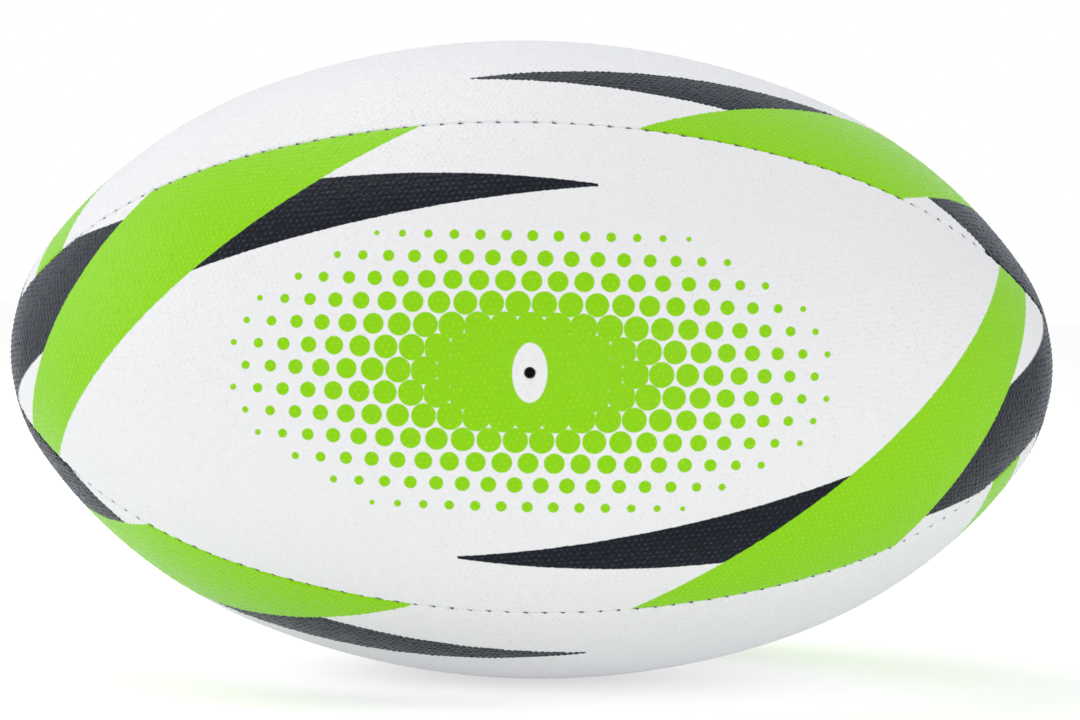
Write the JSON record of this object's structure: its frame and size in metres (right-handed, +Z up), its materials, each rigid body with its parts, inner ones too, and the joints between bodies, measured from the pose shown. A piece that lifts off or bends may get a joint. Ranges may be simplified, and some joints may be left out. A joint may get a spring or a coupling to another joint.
{
  "type": "rugby ball",
  "caption": "Oval ball of sewn pebbled-rubber panels on cloth, with a bladder and a push-in needle valve in one panel.",
  "frame": {"origin": "centre of the ball, half way along its long axis", "axes": "+X along the ball's long axis, -Y out of the middle of the panel with the valve, +Z up out of the middle of the top panel"},
  "size_m": [0.3, 0.184, 0.184],
  "materials": {
    "panel_skin": "pebbled grip rubber, white, printed with lime green and navy bands",
    "panel_backing": "laminated cotton and polyester cloth",
    "seam_thread": "waxed polyester thread",
    "bladder": "smooth butyl rubber",
    "valve_patch": "coated cloth",
    "valve_housing": "moulded latex rubber",
    "valve_plug": "moulded rubber, matt"
  },
  "bodies": {
    "root": {"front_panel_skin": "panel_skin", "top_panel_skin": "panel_skin", "back_panel_skin": "panel_skin", "bottom_panel_skin": "panel_skin", "front_panel_backing": "panel_backing", "top_panel_backing": "panel_backing", "back_panel_backing": "panel_backing", "bottom_panel_backing": "panel_backing", "front_top_seam_thread": "seam_thread", "back_top_seam_thread": "seam_thread", "back_bottom_seam_thread": "seam_thread", "front_bottom_seam_thread": "seam_thread", "bladder": "bladder", "valve_patch": "valve_patch", "valve_housing": "valve_housing", "valve_plug": "valve_plug"}
  },
  "joints": []
}
